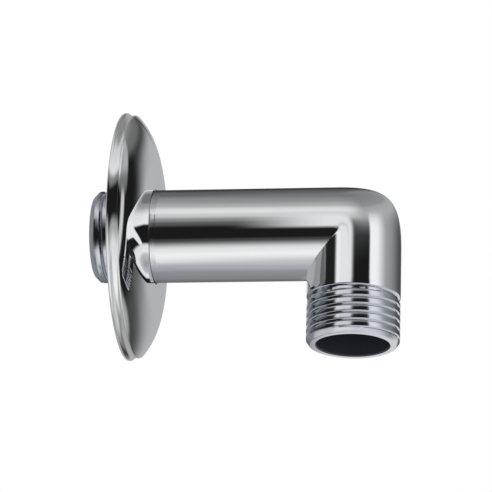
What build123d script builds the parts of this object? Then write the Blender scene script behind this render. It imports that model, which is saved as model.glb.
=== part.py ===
"""Wall outlet elbow: a one-piece plated elbow with two male pipe threads, and its sliding wall flange.

Millimetres. The origin is on the arm's axis in the wall plane, +X runs along the arm away from the
wall, +Z is up and the outlet points down.
"""
import math
import os

from build123d import *

# Elbow body
arm_diameter = 21.1          # outside of arm and leg
thread_diameter = 20.955     # over the crests of the half-inch pipe threads at both ends
waterway_diameter = 16.2     # bore of arm and leg
bore_overrun = 3.5           # each bore runs this far past the other's axis
arm_reach = 51.9             # wall plane to the leg's axis
outlet_drop = 26.4           # arm's axis down to the outlet's end face
inlet_projection = 7.2       # threaded spigot behind the wall plane
thread_length = 11.0         # end face to the shoulder where the full diameter starts
runout_width = 1.0           # groove that ends the thread at its shoulder
runout_depth = 0.6           # groove below the thread's crests
bend_offset = 4.0            # the bend's axis lies this far inside the crossing of the two limbs' axes
corner_fullness = 1.62       # 0.707 bends the corner on a circle, more makes it squarer
inlet_lead = 1.2             # chamfer that starts the inlet thread
outlet_lead = 0.45           # chamfer that starts the outlet thread
mouth_chamfer = 0.3          # broken edge round each mouth of the waterway

# Wall flange
rim_diameter = 56.4          # rear rim that meets the wall
shoulder_inset = 0.5         # rim's edge in to the shoulder, the widest line of the dome
cove_depth = 0.1             # hollow band behind the shoulder, below the shoulder
cove_side = 0.5              # each sloping side of that band, along the arm
flange_depth = 6.6           # wall plane to the flat face round the arm hole
shoulder_offset = 2.5        # wall plane to the shoulder
rim_land = 0.6               # straight edge of the rim before the cove
face_width = 6.0             # flat face round the arm hole, before the dome falls away
sheet_thickness = 0.9        # pressed sheet
hole_chamfer = 0.2           # broken edge of the arm hole
arm_clearance = 0.25         # radial room between the arm and the flange's hole

arm_radius = arm_diameter / 2
thread_radius = thread_diameter / 2
runout_radius = thread_radius - runout_depth
waterway_radius = waterway_diameter / 2
hole_radius = arm_radius + arm_clearance
rim_radius = rim_diameter / 2
shoulder_radius = rim_radius - shoulder_inset
cove_radius = shoulder_radius - cove_depth
skirt_inner_radius = cove_radius - sheet_thickness

# Bend in section: the stretch of the limbs' circle outside the bend's axis, from crease to crease
crease_across = math.sqrt(arm_radius**2 - bend_offset**2)
bend_sweep = math.pi / 2 + math.asin(bend_offset / arm_radius)

# Dome in section: one arc, tangent to the flat face round the arm hole, that ends at the shoulder
face_radius = hole_radius + face_width
dome_height = flange_depth - shoulder_offset
dome_reach = shoulder_radius - face_radius
dome_radius = (dome_height**2 + dome_reach**2) / (2 * dome_height)
dome_middle = (flange_depth - dome_height / 4, face_radius + dome_reach / 2)
inner_face = flange_depth - sheet_thickness
inner_middle = (dome_middle[0] - sheet_thickness, dome_middle[1] - sheet_thickness / 2)

inlet_plane = Plane(origin=(-inlet_projection, 0, 0), x_dir=(0, 1, 0), z_dir=(1, 0, 0))
outlet_plane = Plane(origin=(arm_reach, 0, -outlet_drop))
limbs = [(inlet_plane, inlet_projection + arm_reach), (outlet_plane, outlet_drop)]


def corner_skin(side):
    """One half of the corner's skin, on the side of the mid plane given by 1 or -1.

    Every point of the limbs' circle outside the bend's axis runs from the arm to the leg on a conic,
    which is longest on the outside and shrinks to nothing where the inner crease starts. The skin is
    tangent to both cylinders.
    """
    tangent_across = arm_radius * (arm_radius + bend_offset) / crease_across
    arc = [(arm_radius, 0), (arm_radius, side * tangent_across), (-bend_offset, side * crease_across)]
    arc_weights = [1, math.cos(bend_sweep / 2), 1]
    conic = [(1, 0), (0, 0), (0, 1)]
    conic_weights = [1, corner_fullness, 1]
    points = [
        [
            (
                arm_reach + up - (up + bend_offset) * short_of_leg,
                across,
                up - (up + bend_offset) * past_arm,
            )
            for up, across in arc
        ]
        for short_of_leg, past_arm in conic
    ]
    weights = [[first * second for second in arc_weights] for first in conic_weights]
    return Face.make_bezier_surface(points, weights)


def limb_end(plane):
    """Flat end of a limb where the bend starts: its circle, cut off at the bend's axis."""
    with BuildSketch(plane) as end:
        with BuildLine():
            ThreePointArc((-bend_offset, -crease_across), (arm_radius, 0), (-bend_offset, crease_across))
            Line((-bend_offset, crease_across), (-bend_offset, -crease_across))
        make_face()
    return end.sketch.faces()[0]


leg_top = limb_end(Plane(origin=(arm_reach, 0, -bend_offset)))
arm_end = limb_end(Plane(origin=(arm_reach - bend_offset, 0, 0), x_dir=(0, 0, 1), z_dir=(1, 0, 0)))
corner = Solid(Shell([corner_skin(1), corner_skin(-1), leg_top, arm_end]))

# Elbow body: arm, leg and full corner in one casting, with a threaded spigot and a bore at each end
with BuildPart() as elbow_body:
    add(corner)
    for end_plane, limb_length in limbs:
        with BuildSketch(end_plane):
            Circle(thread_radius)
        extrude(amount=thread_length - runout_width)
        with BuildSketch(end_plane.offset(thread_length - runout_width)):
            Circle(runout_radius)
        extrude(amount=runout_width)
        with BuildSketch(end_plane.offset(thread_length)):
            Circle(arm_radius)
        extrude(amount=limb_length - thread_length - bend_offset)
    chamfer(elbow_body.edges().filter_by(GeomType.CIRCLE).sort_by(Axis.X)[0], inlet_lead)
    chamfer(elbow_body.edges().filter_by(GeomType.CIRCLE).sort_by(Axis.Z)[0], outlet_lead)
    for end_plane, limb_length in limbs:
        with BuildSketch(end_plane):
            Circle(waterway_radius)
        extrude(amount=limb_length + bore_overrun, mode=Mode.SUBTRACT)
    inlet_mouth = elbow_body.faces().sort_by(Axis.X)[0].inner_wires()[0].edges()
    chamfer(inlet_mouth, mouth_chamfer)
    outlet_mouth = elbow_body.faces().sort_by(Axis.Z)[0].inner_wires()[0].edges()
    chamfer(outlet_mouth, mouth_chamfer)

# Wall flange: pressed dome with a hollow band behind its shoulder, open to the wall
with BuildPart() as wall_flange:
    with BuildSketch(Plane.XY):
        with BuildLine():
            Line((0, skirt_inner_radius), (0, rim_radius))
            Line((0, rim_radius), (rim_land, rim_radius))
            Line((rim_land, rim_radius), (rim_land + cove_side, cove_radius))
            Line((rim_land + cove_side, cove_radius), (shoulder_offset - cove_side, cove_radius))
            Line((shoulder_offset - cove_side, cove_radius), (shoulder_offset, shoulder_radius))
            RadiusArc((shoulder_offset, shoulder_radius), (flange_depth, face_radius), dome_radius)
            Line((flange_depth, face_radius), (flange_depth, hole_radius))
            Line((flange_depth, hole_radius), (inner_face, hole_radius))
            Line((inner_face, hole_radius), (inner_face, face_radius))
            Line((inner_face, face_radius), inner_middle)
            Line(inner_middle, (shoulder_offset, skirt_inner_radius))
            Line((shoulder_offset, skirt_inner_radius), (0, skirt_inner_radius))
        make_face()
    revolve(axis=Axis.X)
    rings = wall_flange.edges().filter_by(lambda edge: edge.is_closed)
    chamfer(rings.group_by(Axis.X)[-1].sort_by(SortBy.RADIUS)[0], hole_chamfer)

elbow_body.part.label = "elbow_body"
wall_flange.part.label = "wall_flange"

os.makedirs("parts", exist_ok=True)
export_step(elbow_body.part, "parts/elbow_body.step")
export_step(wall_flange.part, "parts/wall_flange.step")
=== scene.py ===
"""Looks of a chrome wall outlet elbow: the plated elbow with its cut threads, and its sliding wall flange."""
import math
from collections import namedtuple

import bmesh
import bpy
import numpy as np
from bpy.props import FloatProperty, FloatVectorProperty, IntProperty, PointerProperty
from mathutils import Matrix, Vector


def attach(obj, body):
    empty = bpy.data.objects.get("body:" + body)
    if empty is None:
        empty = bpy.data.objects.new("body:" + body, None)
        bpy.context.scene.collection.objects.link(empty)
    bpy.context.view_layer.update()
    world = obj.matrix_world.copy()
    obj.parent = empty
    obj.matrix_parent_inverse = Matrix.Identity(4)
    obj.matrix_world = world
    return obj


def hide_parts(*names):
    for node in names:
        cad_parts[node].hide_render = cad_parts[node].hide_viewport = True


bl_info = {
    "name": "Wall Outlet Elbow",
    "version": (1, 0, 0),
    "blender": (4, 5, 0),
    "location": "3D View > Sidebar > Elbow",
    "description": "Builds a chrome wall outlet elbow with its threads and wall flange on a packed frame",
    "category": "Object",
}

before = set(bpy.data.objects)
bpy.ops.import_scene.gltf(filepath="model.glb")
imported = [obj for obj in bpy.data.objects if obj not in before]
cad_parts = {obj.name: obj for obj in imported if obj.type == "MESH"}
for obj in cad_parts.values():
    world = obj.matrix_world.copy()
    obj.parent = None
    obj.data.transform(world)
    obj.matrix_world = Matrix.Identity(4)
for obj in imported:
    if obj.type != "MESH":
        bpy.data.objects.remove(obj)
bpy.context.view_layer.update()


def length(label, text, default):
    """A length in metres as a property."""
    return FloatProperty(
        name=label, description=text, default=default, min=0.0, precision=5, subtype="DISTANCE", unit="LENGTH"
    )


def colour(label, text, default):
    """A linear colour as a property."""
    return FloatVectorProperty(
        name=label, description=text, default=default, size=3, min=0.0, max=1.0, subtype="COLOR"
    )


def share(label, text, default):
    """A number from 0 to 1 as a property."""
    return FloatProperty(name=label, description=text, default=default, min=0.0, max=1.0, subtype="FACTOR")


class ElbowSizes(bpy.types.PropertyGroup):
    """Sizes of the elbow body and its two threads."""

    arm_radius: length("Arm Radius", "Outside of arm and leg", 0.01055)
    waterway_radius: length("Waterway Radius", "Bore of arm and leg", 0.0081)
    arm_reach: length("Arm Reach", "Wall plane to the leg's axis", 0.0519)
    outlet_drop: length("Outlet Drop", "Arm's axis down to the outlet's end face", 0.0264)
    inlet_projection: length("Inlet Projection", "Threaded spigot behind the wall plane", 0.0072)
    thread_length: length("Thread Length", "End face to the shoulder", 0.011)
    thread_radius: length("Thread Radius", "Over the crests of the threads", 0.0104775)
    thread_depth: length("Thread Depth", "Crest to root", 0.00055)
    thread_pitch: length("Thread Pitch", "From turn to turn", 0.001814)
    runout_width: length("Run-out Width", "Groove that ends the thread at its shoulder", 0.00085)
    inlet_end_radius: length("Inlet End Radius", "Outer edge of the inlet's end face", 0.0092)
    inlet_lead: length("Inlet Lead", "Plain cone before the inlet's first turn", 0.0013)
    outlet_end_radius: length("Outlet End Radius", "Outer edge of the outlet's end face", 0.0097)
    outlet_lead: length("Outlet Lead", "Plain cone before the outlet's first turn", 0.001)
    mouth_chamfer: length("Mouth Chamfer", "Broken edge round each mouth of the waterway", 0.0003)
    edge_break: length("Edge Break", "Softened edges of the turned ends", 0.0001)
    bend_offset: length("Bend Offset", "The bend's axis, inside the crossing of the limbs' axes", 0.004)
    corner_fullness: FloatProperty(
        name="Corner Fullness",
        description="0.707 bends on a circle, more is squarer",
        default=1.62,
        min=0.1,
        max=5.0,
    )
    columns: IntProperty(name="Columns", description="Facets round the pipe", default=192, min=24, max=512)


class FlangeSizes(bpy.types.PropertyGroup):
    """Sizes of the wall flange."""

    rim_radius: length("Rim Radius", "Rear rim that meets the wall", 0.0282)
    shoulder_inset: length("Shoulder Inset", "Rim's edge in to the shoulder", 0.0005)
    cove_depth: length("Cove Depth", "Hollow band below the shoulder", 0.0001)
    depth: length("Depth", "Wall plane to the flat face round the hole", 0.0066)
    shoulder_offset: length("Shoulder Offset", "Wall plane to the shoulder", 0.0025)
    rim_land: length("Rim Land", "Straight edge of the rim", 0.0006)
    face_width: length("Face Width", "Flat face round the arm hole", 0.006)
    sheet_thickness: length("Sheet Thickness", "Pressed sheet", 0.0009)
    hole_radius: length("Hole Radius", "Hole that slides on the arm", 0.0108)
    rim_rounding: length("Rim Rounding", "Softened edges of the rim", 0.0003)
    shoulder_rounding: length("Shoulder Rounding", "Softened ridge of the shoulder", 0.0004)
    hole_rounding: length("Hole Rounding", "Softened edge of the hole", 0.00025)
    columns: IntProperty(name="Columns", description="Facets round the flange", default=288, min=24, max=512)


class FinishSettings(bpy.types.PropertyGroup):
    """Colours and gloss of the metal."""

    chrome: colour("Chrome", "Bright plate of the arm and leg", (0.90, 0.905, 0.915))
    flange: colour("Flange Chrome", "Bright plate of the pressed flange", (0.90, 0.905, 0.915))
    thread: colour("Thread Chrome", "Plate on the cut threads", (0.68, 0.71, 0.76))
    # Waterway: bare metal inside, its near-black colour painted shade of the bore
    waterway: colour("Waterway", "Dark bare metal inside", (0.035, 0.04, 0.055))
    chrome_roughness: share("Chrome Roughness", "Gloss of the polished plate", 0.035)
    thread_roughness: share("Thread Roughness", "Gloss of the cut threads", 0.08)


class StageSettings(bpy.types.PropertyGroup):
    """Floor, light tents and camera."""

    floor_drop: length("Floor Drop", "Arm's axis down to the floor", 0.32)
    floor_colour: colour("Floor Colour", "Pale plain floor", (0.9, 0.9, 0.9))
    tent_centre: FloatVectorProperty(
        name="Tent Centre",
        description="Middle of the light tents",
        default=(0.03, 0.0, -0.005),
        size=3,
        subtype="TRANSLATION",
        unit="LENGTH",
    )
    tent_radius: length("Tent Radius", "Light tents that the metal mirrors", 0.2)
    soft_light: share("Soft Light", "Even light from all round", 0.85)
    camera_place: FloatVectorProperty(
        name="Camera Place",
        description="Where the camera stands",
        default=(0.1035, -0.5608, -0.2062),
        size=3,
        subtype="TRANSLATION",
        unit="LENGTH",
    )
    camera_yaw: FloatProperty(
        name="Camera Yaw", description="Turn to the left of +Y", default=math.radians(7.74), subtype="ANGLE"
    )
    camera_pitch: FloatProperty(
        name="Camera Pitch", description="Tilt upwards", default=math.radians(19.79), subtype="ANGLE"
    )
    camera_roll: FloatProperty(
        name="Camera Roll",
        description="Turn round the line of sight",
        default=math.radians(1.84),
        subtype="ANGLE",
    )
    camera_lens: FloatProperty(
        name="Camera Lens", description="Focal length on a 36 mm sensor", default=194.56, min=10.0, max=1000.0
    )


class WallElbowSettings(bpy.types.PropertyGroup):
    """All that a user may change."""

    elbow: PointerProperty(type=ElbowSizes)
    flange: PointerProperty(type=FlangeSizes)
    finish: PointerProperty(type=FinishSettings)
    stage: PointerProperty(type=StageSettings)


# Mesh helpers

MERGE_DISTANCE = 2e-7
SHORTEST_EDGE = 1e-8
SHARP_ANGLE = math.radians(38)


def solid_from_grid(name, grid, materials, row_materials):
    """A closed mesh from a grid of points: columns run round, and each column is a closed loop of rows.

    The last column repeats the first one, turned by a full turn. Points that coincide are merged.
    """
    column_count, row_count, _ = grid.shape
    column, row = np.meshgrid(np.arange(column_count - 1), np.arange(row_count), indexing="ij")
    after = (row + 1) % row_count
    corners = np.stack(
        [
            column * row_count + row,
            (column + 1) * row_count + row,
            (column + 1) * row_count + after,
            column * row_count + after,
        ],
        axis=-1,
    ).reshape(-1, 4)
    mesh = bpy.data.meshes.new(name)
    mesh.from_pydata(grid.reshape(-1, 3).tolist(), [], corners.tolist())
    mesh.polygons.foreach_set("material_index", np.tile(row_materials, column_count - 1).astype(np.int32))
    for material in materials:
        mesh.materials.append(material)
    work = bmesh.new()
    work.from_mesh(mesh)
    bmesh.ops.remove_doubles(work, verts=work.verts, dist=MERGE_DISTANCE)
    bmesh.ops.dissolve_degenerate(work, edges=work.edges, dist=SHORTEST_EDGE)
    bmesh.ops.recalc_face_normals(work, faces=work.faces)
    loose = [edge for edge in work.edges if len(edge.link_faces) != 2]
    if loose:
        raise RuntimeError(f"{name} isn't closed: {len(loose)} edges lack a second face")
    if work.calc_volume(signed=True) < 0:
        bmesh.ops.reverse_faces(work, faces=work.faces)
    work.to_mesh(mesh)
    work.free()
    mesh.polygons.foreach_set("use_smooth", [True] * len(mesh.polygons))
    mesh.set_sharp_from_angle(angle=SHARP_ANGLE)
    piece = bpy.data.objects.new(name, mesh)
    bpy.context.scene.collection.objects.link(piece)
    return piece


def rounded_line(points, roundings, steps=6):
    """A closed line of (along, out) points whose corners are rounded by the given radii."""
    line = []
    count = len(points)
    for index in range(count):
        here = Vector(points[index])
        before = Vector(points[index - 1])
        after = Vector(points[(index + 1) % count])
        radius = roundings[index]
        if radius <= 0:
            line.append(tuple(here))
            continue
        to_before = (before - here).normalized()
        to_after = (after - here).normalized()
        half_angle = to_before.angle(to_after) / 2
        cut = radius / math.tan(half_angle)
        middle = here + (to_before + to_after).normalized() * (radius / math.sin(half_angle))
        start = here + to_before * cut - middle
        finish = here + to_after * cut - middle
        sweep = start.angle_signed(finish)
        for step in range(steps + 1):
            turned = Matrix.Rotation(-sweep * step / steps, 2) @ start
            line.append(tuple(middle + turned))
    return line


# Elbow body

# Materials of the elbow, in the order of its slots; the inside one is bare metal painted near black as the
# bore's shade
POLISHED, THREADED, BARE_AND_SHADED = 0, 1, 2

# Rows along the arm, round the corner and along the leg
SKIN_STEPS = (24, 36, 10)
BORE_STEPS = (12, 12, 8)

# Corner: the fullness of a round bend, the rows close beside the crease, and the room for rounding errors
ROUND_BEND = math.sqrt(0.5)
CLOSE_ROW = 0.00015
LEAST_BEND = 1e-9
CREASE_ROOM = 1e-7
CREASE_TOP_ROOM = 1e-6

# One turn of a thread from root to root, as shares of the pitch and of the depth
THREAD_FORM = [
    (0.00, 0.0),
    (0.03, 0.03),
    (0.06, 0.15),
    (0.16, 0.85),
    (0.19, 0.96),
    (0.24, 1.0),
    (0.50, 1.0),
    (0.76, 1.0),
    (0.81, 0.96),
    (0.84, 0.85),
    (0.94, 0.15),
    (0.97, 0.03),
]

# Slopes of the thread's ends: plain ring down to the first root, up to the first crest, and the run-out
RING_FALL = 1.1
FIRST_RISE = 0.35
RUNOUT_FALL = 1.8

# Share of a lead that is a plain cone
CONE_SHARE = 0.92

# Softened shoulder behind a thread, as (past the shoulder, below the arm's outside) rows
SHOULDER_ROWS = [(-0.00005, 0.0003), (0.00002, 0.00012), (0.00012, 0.00003)]
GROOVE_STOP = 0.00025
SHOULDER_END = 0.00028


def limb_rows(turns, radius, bend_offset, fullness, reach, ends, steps):
    """Skin of the arm, the corner and the leg, as rows for each column round the pipe.

    A column outside the bend's axis goes from the arm to the leg on a conic. One inside it meets the
    inner crease, where all its corner rows fall together. A close row on either side of the corner
    keeps the shading of the crease narrow. The ends are the arm's first place and the leg's last one.
    """
    arm_start, leg_end = ends
    arm_steps, corner_steps, leg_steps = steps
    across = radius * np.cos(turns)
    height = radius * np.sin(turns)
    bend = np.maximum(height + bend_offset, 0.0)
    bend[bend < LEAST_BEND] = 0.0
    rows = []
    arm_end = reach + height - bend
    for step in range(arm_steps):
        along = arm_start + (arm_end - CLOSE_ROW - arm_start) * step / (arm_steps - 1)
        rows.append(np.stack([along, across, height], -1))
    rows.append(np.stack([arm_end, across, height], -1))
    for step in range(1, corner_steps):
        t = step / corner_steps
        first, second, third = (1 - t) ** 2, 2 * t * (1 - t) * fullness, t**2
        total = first + second + third
        short_of_leg = bend * first / total
        past_arm = bend * third / total
        rows.append(np.stack([reach + height - short_of_leg, across, height - past_arm], -1))
    leg_start = height - bend
    rows.append(np.stack([reach + height, across, leg_start], -1))
    for step in range(leg_steps):
        down = leg_start - CLOSE_ROW + (leg_end - leg_start + CLOSE_ROW) * step / (leg_steps - 1)
        rows.append(np.stack([reach + height, across, down], -1))
    return rows


def thread_rows(turns, hand, start, finish, ring_radius, crest, root, pitch):
    """Turns of a thread as (depth from the end face, radius) arrays, one pair for each row.

    The rows follow the helix. They are held at the two ends, where the thread rises from a plain
    ring and runs out in a groove.
    """
    depth = crest - root
    count = math.ceil((finish - start) / pitch) + 3
    first = math.floor(start / pitch) - 1
    rows = []
    for turn in range(first, first + count):
        for offset, level in THREAD_FORM:
            raw = pitch * (turn + offset + hand * turns / (2 * math.pi))
            depth_in = np.clip(raw, start, finish)
            radius = np.full_like(turns, root + level * depth)
            floor_line = ring_radius - (depth_in - start) * RING_FALL
            radius = np.maximum(radius, np.maximum(floor_line, root))
            lead_line = ring_radius + (depth_in - start) * FIRST_RISE
            runout_line = root + (finish - depth_in) * RUNOUT_FALL
            radius = np.minimum(radius, np.minimum(lead_line, runout_line))
            rows.append((depth_in, radius))
    return rows


def end_rows(sizes, turns, hand, end_radius, lead):
    """One threaded end, from the waterway's mouth to the full diameter, as (depth, radius) rows.

    The end face's edge is broken in steps, and a row just inside it keeps the face's shading flat.
    """

    def ring(depth, radius):
        return np.full_like(turns, depth), np.full_like(turns, radius)

    crest = sizes.thread_radius
    root = crest - sizes.thread_depth
    groove = sizes.thread_length - sizes.runout_width
    slope = (crest - end_radius) / lead
    ring_radius = end_radius + slope * lead * CONE_SHARE
    edge = sizes.edge_break
    rows = [
        ring(0.0, sizes.waterway_radius + sizes.mouth_chamfer),
        ring(0.0, end_radius - edge * 2),
        ring(0.0, end_radius - edge),
        ring(edge * 0.4, end_radius - edge * 0.3),
        ring(edge * 1.2, end_radius + slope * edge * 1.2),
    ]
    cone_end = lead * CONE_SHARE
    rows += thread_rows(turns, hand, cone_end, groove, ring_radius, crest, root, sizes.thread_pitch)
    rows.append(ring(sizes.thread_length - GROOVE_STOP, root))
    for past, below in SHOULDER_ROWS:
        rows.append(ring(sizes.thread_length + past, sizes.arm_radius - below))
    return rows, sizes.thread_length + SHOULDER_END


def build_elbow_body(settings):
    """The plated elbow as one closed mesh: two threaded ends, arm, corner, leg and waterway."""
    sizes = settings.elbow
    turns = np.linspace(0.0, 2 * math.pi, sizes.columns + 1)
    dip = math.asin(sizes.bend_offset / sizes.arm_radius)
    for crease_start in (math.pi + dip, 2 * math.pi - dip):
        turns[np.argmin(np.abs(turns - crease_start))] = crease_start
    inlet, inlet_shoulder = end_rows(sizes, turns, 1, sizes.inlet_end_radius, sizes.inlet_lead)
    outlet, outlet_shoulder = end_rows(sizes, turns, -1, sizes.outlet_end_radius, sizes.outlet_lead)
    reach = sizes.arm_reach
    inlet_face = -sizes.inlet_projection
    outlet_face = -sizes.outlet_drop
    cosine, sine = np.cos(turns), np.sin(turns)
    rows = []
    kinds = []
    for depth, radius in inlet:
        rows.append(np.stack([inlet_face + depth, radius * cosine, radius * sine], -1))
        kinds.append(THREADED)
    skin = limb_rows(
        turns,
        sizes.arm_radius,
        sizes.bend_offset,
        sizes.corner_fullness,
        reach,
        (inlet_face + inlet_shoulder, outlet_face + outlet_shoulder),
        SKIN_STEPS,
    )
    rows += skin
    kinds += [POLISHED] * len(skin)
    for depth, radius in reversed(outlet):
        rows.append(np.stack([reach + radius * sine, radius * cosine, outlet_face + depth], -1))
        kinds.append(THREADED)
    bore = limb_rows(
        turns,
        sizes.waterway_radius,
        0.0,
        ROUND_BEND,
        reach,
        (inlet_face + sizes.mouth_chamfer, outlet_face + sizes.mouth_chamfer),
        BORE_STEPS,
    )
    # The outlet's mouth chamfer takes the inside colour too, painted shade at the bore's edge
    kinds[-1] = BARE_AND_SHADED
    rows += list(reversed(bore))
    kinds += [BARE_AND_SHADED] * len(bore)
    kinds[len(inlet) - 1] = POLISHED
    grid = np.stack(rows, axis=1)
    materials = [
        chrome_material("polished_chrome", settings.finish.chrome, settings.finish.chrome_roughness),
        thread_material(settings.finish),
        waterway_material(settings.finish),
    ]
    piece = solid_from_grid("elbow_plated", grid, materials, kinds)
    mark_crease(piece.data, reach, sizes.bend_offset)
    return piece


def mark_crease(mesh, reach, bend_offset):
    """The inner corner's crease stays sharp along its whole length."""
    places = np.empty(len(mesh.vertices) * 3)
    mesh.vertices.foreach_get("co", places)
    places = places.reshape(-1, 3)
    on_diagonal = np.abs(places[:, 0] - reach - places[:, 2]) < CREASE_ROOM
    on_crease = on_diagonal & (places[:, 2] < CREASE_TOP_ROOM - bend_offset)
    for edge in mesh.edges:
        if all(on_crease[corner] for corner in edge.vertices):
            edge.use_edge_sharp = True


# Wall flange

COVE_STEPS = 16
DOME_STEPS = 40


def arc_through(first, middle, last, steps):
    """Points of the circle through three points, from the first to the last."""
    (ax, ay), (bx, by), (cx, cy) = first, middle, last
    twice = 2 * (ax * (by - cy) + bx * (cy - ay) + cx * (ay - by))
    squares = [x * x + y * y for x, y in (first, middle, last)]
    ux = (squares[0] * (by - cy) + squares[1] * (cy - ay) + squares[2] * (ay - by)) / twice
    uy = (squares[0] * (cx - bx) + squares[1] * (ax - cx) + squares[2] * (bx - ax)) / twice
    centre = Vector((ux, uy))
    start = Vector(first) - centre
    halfway = Vector(middle) - centre
    sweep = start.angle_signed(halfway) + halfway.angle_signed(Vector(last) - centre)
    return [tuple(centre + Matrix.Rotation(-sweep * step / steps, 2) @ start) for step in range(steps + 1)]


def flange_line(sizes):
    """Section of the flange as a closed line of (along the arm, out from the arm's axis) points."""
    shoulder = sizes.rim_radius - sizes.shoulder_inset
    cove = shoulder - sizes.cove_depth
    skirt = cove - sizes.sheet_thickness
    face = sizes.hole_radius + sizes.face_width
    height = sizes.depth - sizes.shoulder_offset
    reach = shoulder - face
    dome_radius = (height**2 + reach**2) / (2 * height)
    centre = Vector((sizes.depth - dome_radius, face))
    lean = math.asin(reach / dome_radius)
    inner_radius = dome_radius - sizes.sheet_thickness
    skirt_lean = math.asin((skirt - face) / inner_radius)

    def dome(radius, angle):
        """A point of a circle round the dome's centre, by its angle from the arm's direction."""
        return centre + Vector((math.cos(angle), math.sin(angle))) * radius

    points = [(0.0, skirt), (0.0, sizes.rim_radius), (sizes.rim_land, sizes.rim_radius)]
    roundings = [sizes.rim_rounding, sizes.rim_rounding, sizes.rim_rounding]
    middle = ((sizes.rim_land + sizes.shoulder_offset) / 2, cove)
    for point in arc_through(points[-1], middle, (sizes.shoulder_offset, shoulder), COVE_STEPS)[1:]:
        points.append(point)
        roundings.append(0.0)
    roundings[-1] = sizes.shoulder_rounding
    for step in range(1, DOME_STEPS + 1):
        points.append(tuple(dome(dome_radius, lean * (1 - step / DOME_STEPS))))
        roundings.append(0.0)
    points += [(sizes.depth, sizes.hole_radius), (sizes.depth - sizes.sheet_thickness, sizes.hole_radius)]
    roundings += [sizes.hole_rounding, 0.0]
    for step in range(DOME_STEPS + 1):
        points.append(tuple(dome(inner_radius, skirt_lean * step / DOME_STEPS)))
        roundings.append(0.0)
    return points, roundings


def build_wall_flange(settings):
    """The pressed flange, turned round the arm's axis."""
    sizes = settings.flange
    points, roundings = flange_line(sizes)
    line = np.array(rounded_line(points, roundings))
    turns = np.linspace(0.0, 2 * math.pi, sizes.columns + 1)
    along = np.broadcast_to(line[:, 0], (len(turns), len(line)))
    across = np.cos(turns)[:, None] * line[:, 1]
    height = np.sin(turns)[:, None] * line[:, 1]
    grid = np.stack([along, across, height], -1)
    material = chrome_material("flange_chrome", settings.finish.flange, settings.finish.chrome_roughness)
    return solid_from_grid("flange_pressed", grid, [material], [0] * len(line))


# Materials


def new_material(name):
    """An empty node material with its output and Principled shader."""
    material = bpy.data.materials.new(name)
    material.use_nodes = True
    nodes = material.node_tree.nodes
    nodes.clear()
    output = nodes.new("ShaderNodeOutputMaterial")
    shader = nodes.new("ShaderNodeBsdfPrincipled")
    material.node_tree.links.new(shader.outputs["BSDF"], output.inputs["Surface"])
    return material, shader


def plate_group():
    """Node group of the plate's small unevenness: a gloss that varies, and a slight swell."""
    name = "plate_unevenness"
    group = bpy.data.node_groups.get(name)
    if group:
        return group
    group = bpy.data.node_groups.new(name, "ShaderNodeTree")
    face = group.interface
    scale = face.new_socket("Scale", in_out="INPUT", socket_type="NodeSocketFloat")
    scale.default_value = 60.0
    base = face.new_socket("Gloss", in_out="INPUT", socket_type="NodeSocketFloat")
    base.default_value = 0.04
    spread = face.new_socket("Spread", in_out="INPUT", socket_type="NodeSocketFloat")
    spread.default_value = 0.02
    face.new_socket("Roughness", in_out="OUTPUT", socket_type="NodeSocketFloat")
    face.new_socket("Height", in_out="OUTPUT", socket_type="NodeSocketFloat")
    nodes, links = group.nodes, group.links
    given = nodes.new("NodeGroupInput")
    result = nodes.new("NodeGroupOutput")
    place = nodes.new("ShaderNodeTexCoord")
    swell = nodes.new("ShaderNodeTexNoise")
    swell.inputs["Detail"].default_value = 2.0
    haze = nodes.new("ShaderNodeTexNoise")
    haze.inputs["Detail"].default_value = 6.0
    haze.inputs["Roughness"].default_value = 0.65
    finer = nodes.new("ShaderNodeMath")
    finer.operation = "MULTIPLY"
    finer.inputs[1].default_value = 9.0
    amount = nodes.new("ShaderNodeMath")
    amount.operation = "MULTIPLY_ADD"
    links.new(place.outputs["Object"], swell.inputs["Vector"])
    links.new(place.outputs["Object"], haze.inputs["Vector"])
    links.new(given.outputs["Scale"], swell.inputs["Scale"])
    links.new(given.outputs["Scale"], finer.inputs[0])
    links.new(finer.outputs["Value"], haze.inputs["Scale"])
    links.new(haze.outputs["Fac"], amount.inputs[0])
    links.new(given.outputs["Spread"], amount.inputs[1])
    links.new(given.outputs["Gloss"], amount.inputs[2])
    links.new(amount.outputs["Value"], result.inputs["Roughness"])
    links.new(swell.outputs["Fac"], result.inputs["Height"])
    return group


def add_plate(material, shader, scale, gloss, spread, swell):
    """Places the plate group in a material, for its gloss and its swell."""
    nodes, links = material.node_tree.nodes, material.node_tree.links
    plate = nodes.new("ShaderNodeGroup")
    plate.node_tree = plate_group()
    plate.inputs["Scale"].default_value = scale
    plate.inputs["Gloss"].default_value = gloss
    plate.inputs["Spread"].default_value = spread
    bump = nodes.new("ShaderNodeBump")
    bump.inputs["Strength"].default_value = 1.0
    bump.inputs["Distance"].default_value = swell
    links.new(plate.outputs["Height"], bump.inputs["Height"])
    links.new(plate.outputs["Roughness"], shader.inputs["Roughness"])
    links.new(bump.outputs["Normal"], shader.inputs["Normal"])


def chrome_material(name, tint, gloss):
    """Bright chrome plate."""
    material, shader = new_material(name)
    shader.inputs["Base Color"].default_value = (*tint, 1.0)
    shader.inputs["Metallic"].default_value = 1.0
    add_plate(material, shader, scale=55.0, gloss=gloss, spread=0.02, swell=0.000004)
    return material


def thread_material(finish):
    """Plate on the cut threads, with fine tool marks."""
    material, shader = new_material("thread_chrome")
    shader.inputs["Base Color"].default_value = (*finish.thread, 1.0)
    shader.inputs["Metallic"].default_value = 1.0
    add_plate(material, shader, scale=420.0, gloss=finish.thread_roughness, spread=0.1, swell=0.000008)
    return material


def waterway_material(finish):
    """Bare metal inside the waterway, painted near black as the shade inside the bore."""
    material, shader = new_material("waterway_painted_shade")
    shader.inputs["Base Color"].default_value = (*finish.waterway, 1.0)
    shader.inputs["Metallic"].default_value = 0.3
    add_plate(material, shader, scale=300.0, gloss=0.4, spread=0.25, swell=0.00002)
    return material


# Stage

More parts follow.
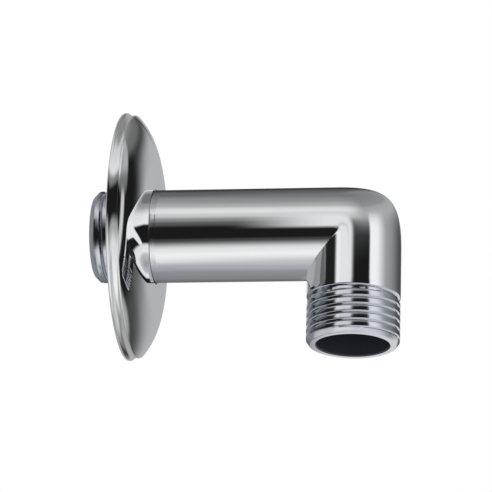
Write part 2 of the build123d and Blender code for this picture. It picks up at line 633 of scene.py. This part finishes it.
# Mirror images in which a panel shows: the first one, those of one piece in another, or all of them
EVERY_IMAGE, FIRST_IMAGE, SECOND_IMAGE, THIRD_IMAGE = 0.0, 1.0, 2.0, 3.0
IMAGE_ROOM = 0.5

# A panel's left, right, low and high edges in degrees, how soft they are, and its tone or run of tones.
# Lean shifts it sideways as it rises, and reach leaves out mirrors nearer to the tent than that.
Panel = namedtuple("Panel", "edges blurs tone image lean reach", defaults=(FIRST_IMAGE, 0.0, 0.0))
PANEL_SOCKETS = ("Left", "Right", "Low", "High", "Left Blur", "Right Blur", "Low Blur", "High Blur", "Lean")
ALL_ROUND = (-230, 230, -100, 100)
HARD_EDGES = (1, 1, 1, 1)

# The leg lies further than this from the panels in front of it, and the arm nearer
LEG_REACH = 0.1915
REACH_BLUR = 0.002

# Half the width, in shares of the radius, over which a tent's front changes to its back
SIDE_BLEND = 0.15

# The flange's tent lies a little outside the elbow's
FLANGE_TENT_GROWTH = 1.02


def ramp(nodes, stops):
    """A colour ramp over elevation, from straight down at 0 to straight up at 1."""
    node = nodes.new("ShaderNodeValToRGB")
    node.color_ramp.interpolation = "EASE"
    elements = node.color_ramp.elements
    while len(elements) > 1:
        elements.remove(elements[-1])
    for index, (degrees, tone) in enumerate(stops):
        place = (degrees + 90) / 180
        element = elements[0] if index == 0 else elements.new(place)
        element.position = place
        element.color = (*tone, 1.0)
    return node


def grey(value, blue=0.0):
    """A linear tone from a display grey of 0 to 255, a little bluish or warm."""
    level = value / 255
    level = level / 12.92 if level <= 0.04045 else ((level + 0.055) / 1.055) ** 2.4
    return (level * (1 - blue), level, level * (1 + blue))


def soft_panel_group():
    """Node group: mask of a panel with soft edges, by azimuth and elevation in degrees.

    Lean is how far its upright edges move in azimuth for each degree of elevation.
    """
    name = "soft_panel"
    group = bpy.data.node_groups.get(name)
    if group:
        return group
    group = bpy.data.node_groups.new(name, "ShaderNodeTree")
    face = group.interface
    for label in ("Azimuth", "Elevation", *PANEL_SOCKETS):
        face.new_socket(label, in_out="INPUT", socket_type="NodeSocketFloat")
    face.new_socket("Mask", in_out="OUTPUT", socket_type="NodeSocketFloat")
    nodes, links = group.nodes, group.links
    given = nodes.new("NodeGroupInput")
    result = nodes.new("NodeGroupOutput")

    def rise(value, edge, blur, falling):
        """Smooth step at an edge, as wide as the blur."""
        offset = nodes.new("ShaderNodeMath")
        offset.operation = "SUBTRACT"
        limit = given.outputs[edge]
        first, second = (limit, value) if falling else (value, limit)
        links.new(first, offset.inputs[0])
        links.new(second, offset.inputs[1])
        scaled = nodes.new("ShaderNodeMath")
        scaled.operation = "DIVIDE"
        links.new(offset.outputs["Value"], scaled.inputs[0])
        links.new(given.outputs[blur], scaled.inputs[1])
        step = nodes.new("ShaderNodeMapRange")
        step.interpolation_type = "SMOOTHSTEP"
        step.inputs["From Min"].default_value = -0.5
        step.inputs["From Max"].default_value = 0.5
        links.new(scaled.outputs["Value"], step.inputs["Value"])
        return step.outputs["Result"]

    shift = nodes.new("ShaderNodeMath")
    shift.operation = "MULTIPLY"
    links.new(given.outputs["Elevation"], shift.inputs[0])
    links.new(given.outputs["Lean"], shift.inputs[1])
    upright = nodes.new("ShaderNodeMath")
    upright.operation = "SUBTRACT"
    links.new(given.outputs["Azimuth"], upright.inputs[0])
    links.new(shift.outputs["Value"], upright.inputs[1])
    masks = [
        rise(upright.outputs["Value"], "Left", "Left Blur", False),
        rise(upright.outputs["Value"], "Right", "Right Blur", True),
        rise(given.outputs["Elevation"], "Low", "Low Blur", False),
        rise(given.outputs["Elevation"], "High", "High Blur", True),
    ]
    total = masks[0]
    for mask in masks[1:]:
        product = nodes.new("ShaderNodeMath")
        product.operation = "MULTIPLY"
        links.new(total, product.inputs[0])
        links.new(mask, product.inputs[1])
        total = product.outputs["Value"]
    links.new(total, result.inputs["Mask"])
    return group


def tent_material(name, front_stops, back_stops, panels, see_through):
    """Inside of a light tent: a vertical gradient, front and back, with soft panels and flags on it."""
    material = bpy.data.materials.new(name)
    material.use_nodes = True
    nodes, links = material.node_tree.nodes, material.node_tree.links
    nodes.clear()
    output = nodes.new("ShaderNodeOutputMaterial")
    glow = nodes.new("ShaderNodeEmission")
    surface = glow.outputs["Emission"]
    if see_through:
        clear = nodes.new("ShaderNodeBsdfTransparent")
        both = nodes.new("ShaderNodeAddShader")
        links.new(surface, both.inputs[0])
        links.new(clear.outputs["BSDF"], both.inputs[1])
        surface = both.outputs["Shader"]
    links.new(surface, output.inputs["Surface"])
    place = nodes.new("ShaderNodeTexCoord")
    unit = nodes.new("ShaderNodeVectorMath")
    unit.operation = "NORMALIZE"
    links.new(place.outputs["Object"], unit.inputs[0])
    parts = nodes.new("ShaderNodeSeparateXYZ")
    links.new(unit.outputs["Vector"], parts.inputs["Vector"])

    def math_node(operation, first, second=None):
        """Result of one operation on a link, and on a number or a second link where it takes one."""
        node = nodes.new("ShaderNodeMath")
        node.operation = operation
        links.new(first, node.inputs[0])
        if isinstance(second, float):
            node.inputs[1].default_value = second
        elif second is not None:
            links.new(second, node.inputs[1])
        return node.outputs["Value"]

    away = math_node("MULTIPLY", parts.outputs["Y"], -1.0)
    azimuth = math_node("DEGREES", math_node("ARCTAN2", parts.outputs["X"], away))
    elevation = math_node("DEGREES", math_node("ARCSINE", parts.outputs["Z"]))
    place_on_ramp = nodes.new("ShaderNodeMapRange")
    place_on_ramp.inputs["From Min"].default_value = -90.0
    place_on_ramp.inputs["From Max"].default_value = 90.0
    links.new(elevation, place_on_ramp.inputs["Value"])

    def gradient(stops):
        """Tone by elevation."""
        node = ramp(nodes, stops)
        links.new(place_on_ramp.outputs["Result"], node.inputs["Fac"])
        return node.outputs["Color"]

    def layered(factor, below, above):
        """One tone laid over another by a mask."""
        node = nodes.new("ShaderNodeMix")
        node.data_type = "RGBA"
        links.new(factor, node.inputs["Factor"])
        links.new(below, node.inputs["A"])
        if isinstance(above, tuple):
            node.inputs["B"].default_value = (*above, 1.0)
        else:
            links.new(above, node.inputs["B"])
        return node.outputs["Result"]

    behind = nodes.new("ShaderNodeMapRange")
    behind.interpolation_type = "SMOOTHSTEP"
    behind.inputs["From Min"].default_value = -SIDE_BLEND
    behind.inputs["From Max"].default_value = SIDE_BLEND
    links.new(parts.outputs["Y"], behind.inputs["Value"])
    tone = layered(behind.outputs["Result"], gradient(front_stops), gradient(back_stops))
    path = nodes.new("ShaderNodeLightPath")
    for panel in panels:
        soft = nodes.new("ShaderNodeGroup")
        soft.node_tree = soft_panel_group()
        links.new(azimuth, soft.inputs["Azimuth"])
        links.new(elevation, soft.inputs["Elevation"])
        for label, value in zip(PANEL_SOCKETS, (*panel.edges, *panel.blurs, panel.lean)):
            soft.inputs[label].default_value = value
        mask = soft.outputs["Mask"]
        if panel.image != EVERY_IMAGE:
            match = math_node("COMPARE", path.outputs["Ray Depth"], panel.image)
            match.node.inputs[2].default_value = IMAGE_ROOM
            mask = math_node("MULTIPLY", mask, match)
        if panel.reach:
            far = nodes.new("ShaderNodeMapRange")
            far.interpolation_type = "SMOOTHSTEP"
            far.inputs["From Min"].default_value = panel.reach - REACH_BLUR
            far.inputs["From Max"].default_value = panel.reach + REACH_BLUR
            links.new(path.outputs["Ray Length"], far.inputs["Value"])
            mask = math_node("MULTIPLY", mask, far.outputs["Result"])
        above = gradient(panel.tone) if isinstance(panel.tone, list) else panel.tone
        tone = layered(mask, tone, above)
    links.new(tone, glow.inputs["Color"])
    return material


# Tones by elevation that the arm mirrors, in front of the object and behind it
ARM_STOPS = [
    (-90, grey(198, 0.03)),
    (-62, grey(249)),
    (-51, grey(236)),
    (-28, grey(70)),
    (-22, grey(28)),
    (1, grey(28)),
    (12, grey(92)),
    (20, grey(142)),
    (31, grey(207)),
    (41, grey(232)),
    (46, grey(224)),
    (57, grey(178)),
    (72, grey(148, 0.03)),
    (90, grey(124, 0.04)),
]

BACK_STOPS = [
    (-90, grey(198, 0.03)),
    (-76, grey(180, 0.05)),
    (-56, grey(148, 0.05)),
    (-33, grey(138, 0.04)),
    (-8, grey(112)),
    (15, grey(130)),
    (38, grey(62)),
    (50, grey(60)),
    (66, grey(96, 0.04)),
    (90, grey(124, 0.04)),
]


def elbow_tent_material():
    """What the elbow mirrors: bands of light along the arm, and upright panels and flags round the leg."""
    side = [
        (-90, grey(200)),
        (-55, grey(235)),
        (-30, grey(190)),
        (0, grey(155, 0.03)),
        (22, grey(166, 0.03)),
        (33, grey(178, 0.03)),
        (42, grey(170, 0.03)),
        (51, grey(148, 0.03)),
        (72, grey(137, 0.03)),
        (90, grey(122, 0.04)),
    ]
    echo = [
        (-90, grey(165)),
        (-66, grey(195)),
        (-52, grey(245)),
        (-40, grey(240)),
        (-31, grey(28)),
        (8, grey(26)),
        (15, grey(248)),
        (33, grey(242)),
        (62, grey(160)),
        (75, grey(120)),
        (90, grey(120)),
    ]
    panels = [
        Panel((20, 165, -100, 100), (38, 24, 1, 1), side, EVERY_IMAGE),
        Panel((-140, -50, -64, -35), (20, 20, 10, 14), grey(215)),
        Panel((-145, -70, -30, 60), (20, 20, 20, 30), grey(150, 0.06)),
        Panel((112, 164, -40, 28), (64, 28, 20, 20), grey(80, 0.04)),
        Panel((125, 230, -80, -10), (30, 1, 12, 8), grey(232)),
        Panel((-230, -178, -80, -10), (1, 4, 12, 8), grey(232)),
        Panel((-174, -150, 12, 30), (10, 10, 6, 8), grey(205)),
        Panel((46, 75, -40, 29), (6, 30, 20, 18), grey(250)),
        Panel((-33.5, -20, 3, 34), (10, 6, 8, 16), grey(246), reach=LEG_REACH),
        Panel((-22, 4, 3, 40), (6, 10, 8, 16), grey(236), reach=LEG_REACH),
        Panel((-4.5, 6, 0, 32), (9, 10, 10, 16), grey(234)),
        Panel((-67, -36, -25, 24), (14, 8, 20, 6), grey(32)),
        Panel((9.5, 47, -30, 22.7), (8, 6, 20, 14), grey(26)),
        Panel(ALL_ROUND, HARD_EDGES, echo, SECOND_IMAGE),
        Panel((44, 130, -11, 26), (4, 20, 4, 14), grey(252), SECOND_IMAGE, lean=0.7),
        Panel((44, 62, -36, -4), (4, 4, 5, 4), grey(250), SECOND_IMAGE, lean=0.7),
        Panel((-66, -16, -70, 45), (6, 10, 10, 10), grey(34), SECOND_IMAGE),
        Panel((-200, -69, -100, -6), (1, 6, 1, 6), grey(181, 0.04), SECOND_IMAGE),
        Panel(ALL_ROUND, HARD_EDGES, grey(40), THIRD_IMAGE),
    ]
    return tent_material("elbow_tent", ARM_STOPS, BACK_STOPS, panels, True)


def flange_tent_material():
    """What the flange mirrors: a dark flag beside the arm, and in front a dark band between white ones."""
    front = [
        (-90, grey(190)),
        (-62, grey(250)),
        (-24, grey(228)),
        (-8, grey(170)),
        (4, grey(28)),
        (25, grey(28)),
        (33, grey(130)),
        (42, grey(228)),
        (62, grey(215)),
        (78, grey(150)),
        (90, grey(130)),
    ]
    back = [
        (-90, grey(150)),
        (-40, grey(125)),
        (-25, grey(70)),
        (-12, grey(76)),
        (0, grey(95)),
        (15, grey(80)),
        (32, grey(48)),
        (42, grey(54)),
        (51, grey(112)),
        (62, grey(140)),
        (90, grey(140)),
    ]
    above_ridge = [
        (-90, grey(105)),
        (25, grey(105)),
        (34, grey(122)),
        (43, grey(180)),
        (52, grey(176)),
        (90, grey(140)),
    ]
    below_ridge = [
        (-90, grey(165)),
        (-58, grey(214)),
        (-40, grey(190)),
        (-26, grey(168)),
        (90, grey(168)),
    ]
    panels = [
        Panel((-175, -52, -70, 60), (10, 16, 20, 20), grey(172)),
        Panel((152, 230, -8, 40), (52, 1, 26, 12), grey(182, 0.03)),
        Panel((-230, -166, -8, 36), (1, 16, 26, 10), grey(182, 0.03)),
        Panel((40, 150, -85, -24), (20, 40, 10, 5), below_ridge),
        Panel((82, 90, -45, 32), (4, 4, 20, 10), grey(210), lean=0.15),
        Panel((90, 122, -25, 45), (4, 20, 9, 8), grey(28), lean=0.15),
        Panel((60, 79, 27, 66), (20, 6, 10, 16), above_ridge, lean=0.7),
        Panel(ALL_ROUND, HARD_EDGES, ARM_STOPS, SECOND_IMAGE),
        Panel((120, 230, -100, 100), (60, 1, 1, 1), BACK_STOPS, SECOND_IMAGE),
        Panel((-230, -130, -100, 100), (1, 40, 1, 1), BACK_STOPS, SECOND_IMAGE),
        Panel((-230, -1, 8, 36), (1, 6, 6, 6), grey(52), SECOND_IMAGE),
        Panel((9, 140, 4, 38), (6, 20, 8, 10), grey(110, 0.03), SECOND_IMAGE),
        Panel(ALL_ROUND, HARD_EDGES, grey(164, 0.03), THIRD_IMAGE),
        Panel((-230, -95, -60, 60), (1, 10, 10, 10), grey(45), THIRD_IMAGE),
        Panel((95, 230, -60, 60), (10, 1, 10, 10), grey(45), THIRD_IMAGE),
    ]
    return tent_material("flange_tent", front, back, panels, False)


def build_tent(name, centre, radius, material, piece_name):
    """A light tent round the object. Only mirrors see it, and of those only the named piece."""
    mesh = bpy.data.meshes.new(name)
    work = bmesh.new()
    bmesh.ops.create_uvsphere(work, u_segments=64, v_segments=32, radius=radius)
    work.to_mesh(mesh)
    work.free()
    mesh.materials.append(material)
    tent = bpy.data.objects.new(name, mesh)
    tent.location = centre
    bpy.context.scene.collection.objects.link(tent)
    tent.visible_camera = False
    tent.visible_diffuse = False
    tent.visible_transmission = False
    tent.visible_volume_scatter = False
    tent.visible_shadow = False
    mirrors = bpy.data.collections.new(f"{name}_mirrors")
    mirrors.objects.link(bpy.data.objects[piece_name])
    tent.light_linking.receiver_collection = mirrors
    return tent


def build_floor(stage):
    """A plain pale floor below the object."""
    mesh = bpy.data.meshes.new("pale_floor")
    side = 6.0
    drop = -stage.floor_drop
    corners = [(-side, -side, drop), (side, -side, drop), (side, side, drop), (-side, side, drop)]
    mesh.from_pydata(corners, [], [(0, 1, 2, 3)])
    material, shader = new_material("pale_floor")
    shader.inputs["Base Color"].default_value = (*stage.floor_colour, 1.0)
    shader.inputs["Roughness"].default_value = 0.9
    mesh.materials.append(material)
    floor = bpy.data.objects.new("pale_floor", mesh)
    bpy.context.scene.collection.objects.link(floor)
    floor.visible_glossy = False
    return floor


def build_light(stage):
    """Even white surroundings and one broad soft light from above."""
    world = bpy.data.worlds.new("studio")
    bpy.context.scene.world = world
    world.use_nodes = True
    nodes, links = world.node_tree.nodes, world.node_tree.links
    nodes.clear()
    output = nodes.new("ShaderNodeOutputWorld")
    background = nodes.new("ShaderNodeBackground")
    background.inputs["Color"].default_value = (1.0, 1.0, 1.0, 1.0)
    path = nodes.new("ShaderNodeLightPath")
    seen = None
    for ray in ("Is Camera Ray", "Is Glossy Ray", "Is Transmission Ray"):
        if seen is None:
            seen = path.outputs[ray]
            continue
        either = nodes.new("ShaderNodeMath")
        either.operation = "MAXIMUM"
        links.new(seen, either.inputs[0])
        links.new(path.outputs[ray], either.inputs[1])
        seen = either.outputs["Value"]
    level = nodes.new("ShaderNodeMapRange")
    level.inputs["To Min"].default_value = stage.soft_light
    level.inputs["To Max"].default_value = 1.0
    links.new(seen, level.inputs["Value"])
    links.new(level.outputs["Result"], background.inputs["Strength"])
    links.new(background.outputs["Background"], output.inputs["Surface"])
    lamp = bpy.data.lights.new("overhead_soft_light", "AREA")
    lamp.shape = "DISK"
    lamp.size = 1.2
    lamp.energy = 4.0
    light = bpy.data.objects.new("overhead_soft_light", lamp)
    light.location = (0.1, -0.5, 1.1)
    light.rotation_euler = (Vector((0.02, 0.0, 0.0)) - light.location).to_track_quat("-Z", "Y").to_euler()
    light.visible_glossy = False
    bpy.context.scene.collection.objects.link(light)


def build_camera(stage):
    """The camera at the photograph's viewing angle, low and looking up."""
    yaw, pitch, roll = stage.camera_yaw, stage.camera_pitch, stage.camera_roll
    ahead = Vector((-math.sin(yaw) * math.cos(pitch), math.cos(yaw) * math.cos(pitch), math.sin(pitch)))
    level_right = Vector((math.cos(yaw), math.sin(yaw), 0.0))
    level_up = level_right.cross(ahead)
    right = math.cos(roll) * level_right + math.sin(roll) * level_up
    up = math.cos(roll) * level_up - math.sin(roll) * level_right
    data = bpy.data.cameras.new("camera")
    data.lens = stage.camera_lens
    data.sensor_width = 36.0
    data.clip_start = 0.01
    data.clip_end = 50.0
    camera = bpy.data.objects.new("camera", data)
    turn = Matrix((right, up, -ahead)).transposed().to_4x4()
    camera.matrix_world = Matrix.Translation(Vector(stage.camera_place)) @ turn
    bpy.context.scene.collection.objects.link(camera)
    bpy.context.scene.camera = camera


# Operators and panel


class WALLELBOW_OT_elbow_body(bpy.types.Operator):
    """Build the plated elbow with its threads and waterway"""

    bl_idname = "wall_elbow.elbow_body"
    bl_label = "Build Elbow Body"

    def execute(self, context):
        piece = build_elbow_body(context.scene.wall_elbow)
        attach(piece, "elbow")
        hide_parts("elbow_body")
        return {"FINISHED"}


class WALLELBOW_OT_wall_flange(bpy.types.Operator):
    """Build the pressed wall flange"""

    bl_idname = "wall_elbow.wall_flange"
    bl_label = "Build Wall Flange"

    def execute(self, context):
        piece = build_wall_flange(context.scene.wall_elbow)
        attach(piece, "flange")
        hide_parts("wall_flange")
        return {"FINISHED"}


class WALLELBOW_OT_stage(bpy.types.Operator):
    """Build the floor, the light tents, the lights and the camera"""

    bl_idname = "wall_elbow.stage"
    bl_label = "Build Stage"

    def execute(self, context):
        stage = context.scene.wall_elbow.stage
        centre, radius = stage.tent_centre, stage.tent_radius
        elbow_tent = build_tent("elbow_tent", centre, radius, elbow_tent_material(), "elbow_plated")
        outer = radius * FLANGE_TENT_GROWTH
        flange_tent = build_tent("flange_tent", centre, outer, flange_tent_material(), "flange_pressed")
        build_floor(stage)
        build_light(stage)
        build_camera(stage)
        context.scene.view_settings.view_transform = "Standard"
        return {"FINISHED"}


class WALLELBOW_PT_panel(bpy.types.Panel):
    """Sizes, finish and build steps of the wall outlet elbow"""

    bl_idname = "WALLELBOW_PT_panel"
    bl_label = "Wall Outlet Elbow"
    bl_space_type = "VIEW_3D"
    bl_region_type = "UI"
    bl_category = "Elbow"

    def draw(self, context):
        settings = context.scene.wall_elbow
        for label, group in (
            ("Elbow", settings.elbow),
            ("Flange", settings.flange),
            ("Finish", settings.finish),
            ("Stage", settings.stage),
        ):
            box = self.layout.box()
            box.label(text=label)
            for key in group.bl_rna.properties.keys():
                if key not in {"rna_type", "name"}:
                    box.prop(group, key)
        for operator in ("wall_elbow.elbow_body", "wall_elbow.wall_flange", "wall_elbow.stage"):
            self.layout.operator(operator)


CLASSES = (
    ElbowSizes,
    FlangeSizes,
    FinishSettings,
    StageSettings,
    WallElbowSettings,
    WALLELBOW_OT_elbow_body,
    WALLELBOW_OT_wall_flange,
    WALLELBOW_OT_stage,
    WALLELBOW_PT_panel,
)


def register():
    """Registers the classes and the scene's settings."""
    for entry in CLASSES:
        bpy.utils.register_class(entry)
    bpy.types.Scene.wall_elbow = PointerProperty(type=WallElbowSettings)


def unregister():
    """Removes the scene's settings and the classes."""
    del bpy.types.Scene.wall_elbow
    for entry in reversed(CLASSES):
        bpy.utils.unregister_class(entry)


def main():
    """Builds the pieces and the stage."""
    register()
    bpy.ops.wall_elbow.elbow_body()
    bpy.ops.wall_elbow.wall_flange()
    bpy.ops.wall_elbow.stage()
    bpy.context.view_layer.update()


if __name__ == "__main__":
    main()
